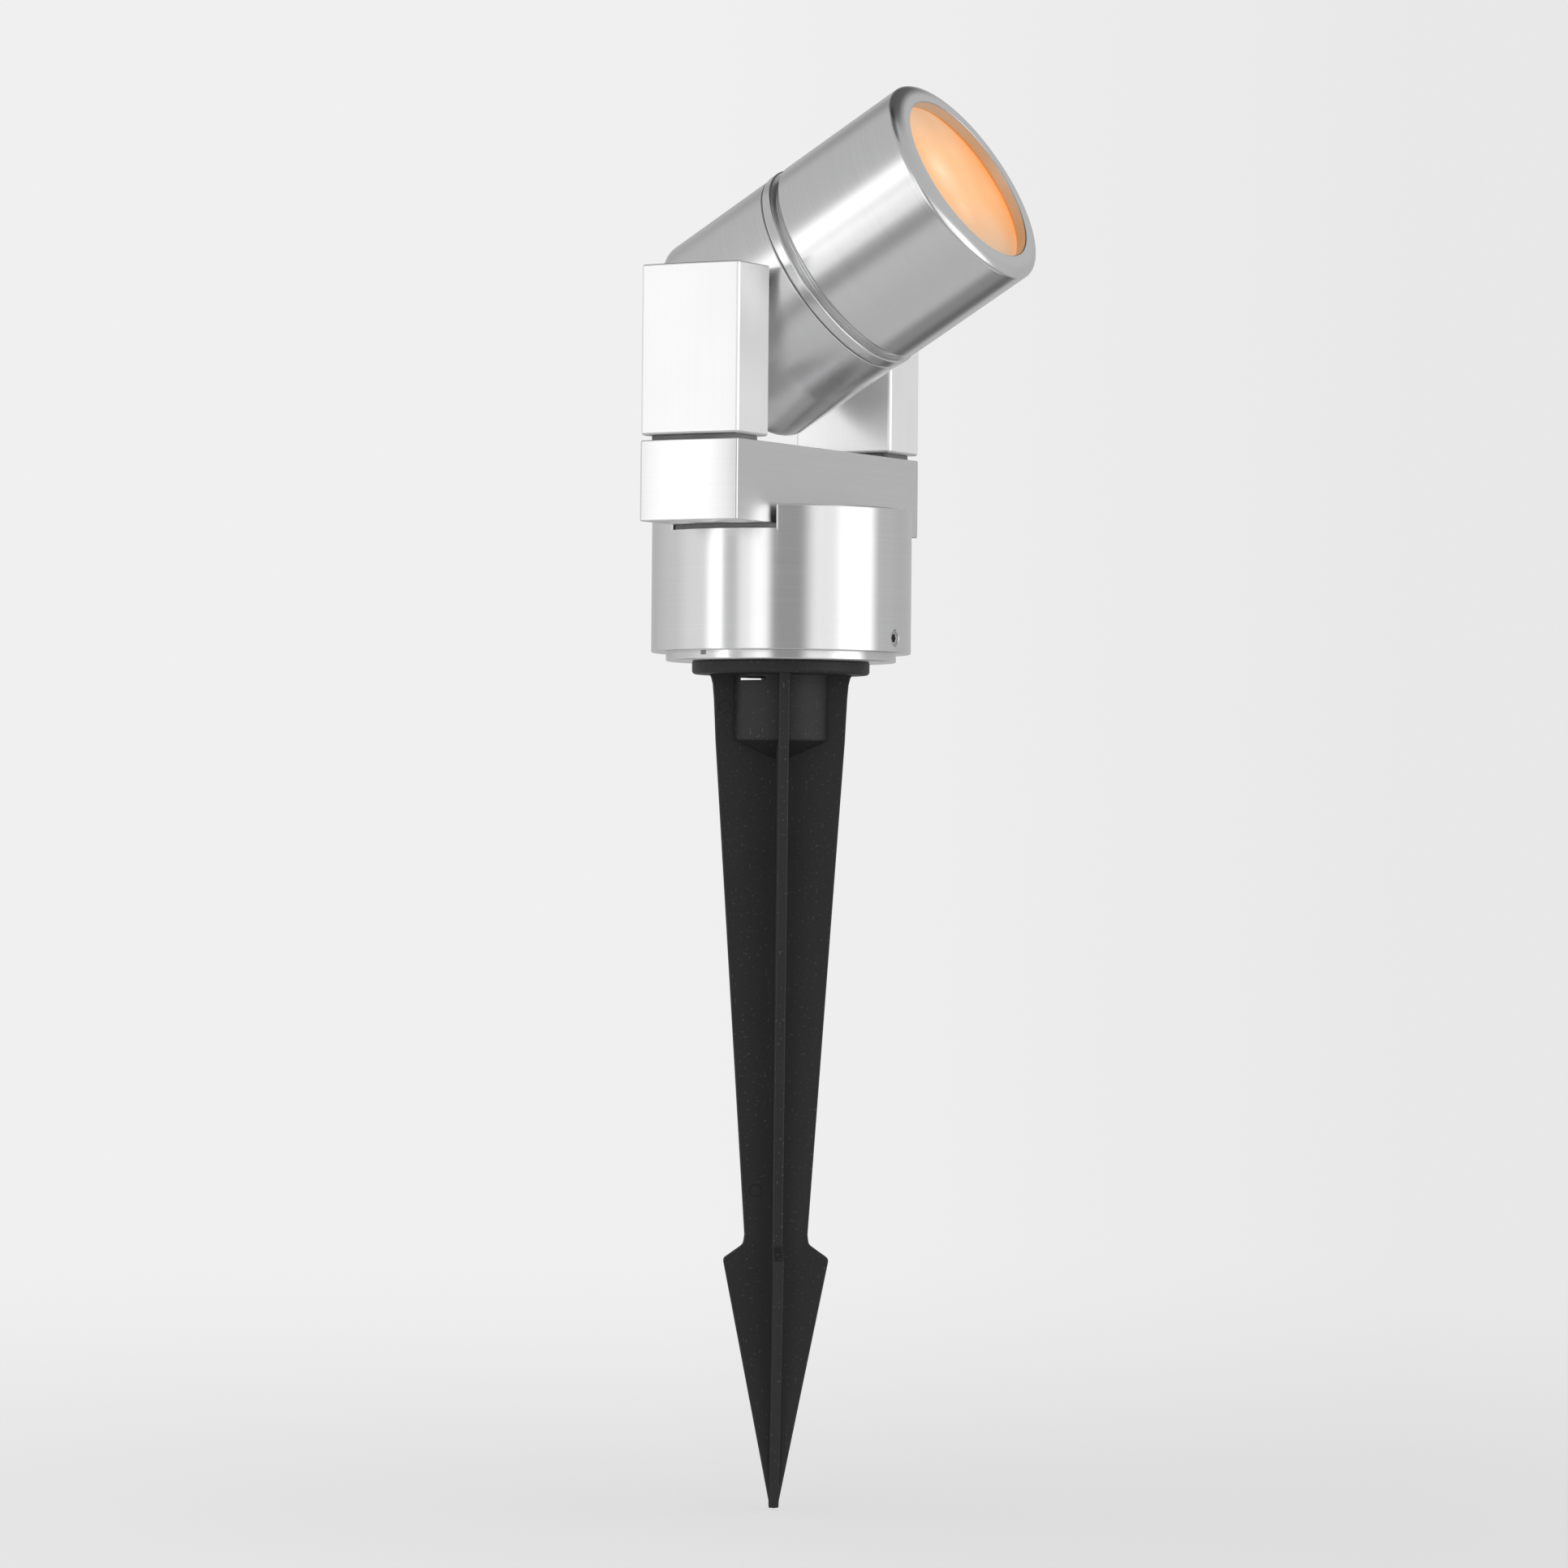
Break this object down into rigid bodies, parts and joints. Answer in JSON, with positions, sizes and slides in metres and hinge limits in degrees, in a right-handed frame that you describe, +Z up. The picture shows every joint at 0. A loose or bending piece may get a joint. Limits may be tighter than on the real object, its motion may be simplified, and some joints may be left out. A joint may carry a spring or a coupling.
{
  "type": "light projector stake",
  "caption": "Garden spotlight on a finned ground stake: round base, two-post yoke, and a tilting cylindrical head with a frosted lens.",
  "frame": {"origin": "centre of the underside of the stake's flange, which is the ground line when the stake is pushed in", "axes": "+Z up along the stake; X along the crossbar and the tilt axis; the light aims towards -Y and up at rest"},
  "size_m": [0.094, 0.0977, 0.3541],
  "materials": {
    "stake_plastic": "moulded black plastic, fine matt grain",
    "brass": "turned",
    "steel": "plain",
    "satin_aluminium": "fine turned and brushed, clear satin",
    "ring_aluminium": "turned satin",
    "block_aluminium": "straight brushed",
    "rubber": "moulded",
    "pad_rubber": "cut sheet, dark grey",
    "gland_plastic": "moulded black nylon",
    "lead_sleeving": "woven silicone sleeving",
    "ceramic": "white ceramic",
    "lamp_body": "white lamp body",
    "lens_glass": "frosted, lit warm from behind"
  },
  "bodies": {
    "stake": {"stake": "stake_plastic", "stake_insert": "brass", "stake_screw": "steel", "stake_washer": "steel", "bottom_plug": "satin_aluminium", "plug_seal": "rubber"},
    "base": {"base_housing": "satin_aluminium", "grub_screws": "steel", "gland_body": "gland_plastic", "gland_nut": "gland_plastic", "gland_bush": "rubber", "gland_seal": "rubber", "terminal_block": "ceramic", "block_screws": "steel", "bar_pad": "pad_rubber", "crossbar": "block_aluminium", "bar_screws": "steel", "channel_plug": "block_aluminium", "left_upright": "block_aluminium", "right_upright": "block_aluminium", "left_pad": "pad_rubber", "right_pad": "pad_rubber", "upright_screws": "steel", "pivot_bolts": "steel", "spring_washers": "steel", "friction_washers": "pad_rubber", "yoke_lead": "lead_sleeving"},
    "head": {"rear_housing": "satin_aluminium", "lock_ring": "ring_aluminium", "head_seal": "rubber", "head_lead": "lead_sleeving", "lamp_holder": "ceramic", "holder_bracket": "steel", "bracket_screws": "steel", "lamp_reflector": "lamp_body", "lamp_pins": "brass", "lamp_window": "lens_glass"},
    "lens_pack": {"front_lens": "lens_glass", "lens_gasket": "rubber"},
    "sleeve": {"front_sleeve": "satin_aluminium"}
  },
  "joints": [
    {"name": "pan", "type": "hinge", "parent": "stake", "child": "base", "pos_m": [0, 0, 0.0053], "axis": [0, 0, 1], "continuous": true},
    {"name": "tilt", "type": "hinge", "parent": "base", "child": "head", "pos_m": [0, 0, 0.0919], "axis": [-1, 0, 0], "range_deg": [-50, 170]},
    {"name": "lens_travel", "type": "slide", "parent": "head", "child": "lens_pack", "axis": [0, -0.866, 0.5], "range_m": [0, 0.006]},
    {"name": "sleeve_turn", "type": "hinge", "parent": "lens_pack", "child": "sleeve", "pos_m": [0, 0, 0.0919], "axis": [0, -0.866, 0.5], "range_deg": [0, 1440.1]}
  ],
  "couplings": [
    {"joint": "sleeve_turn", "follows": "lens_travel", "rad_per_m": 4188.8}
  ]
}
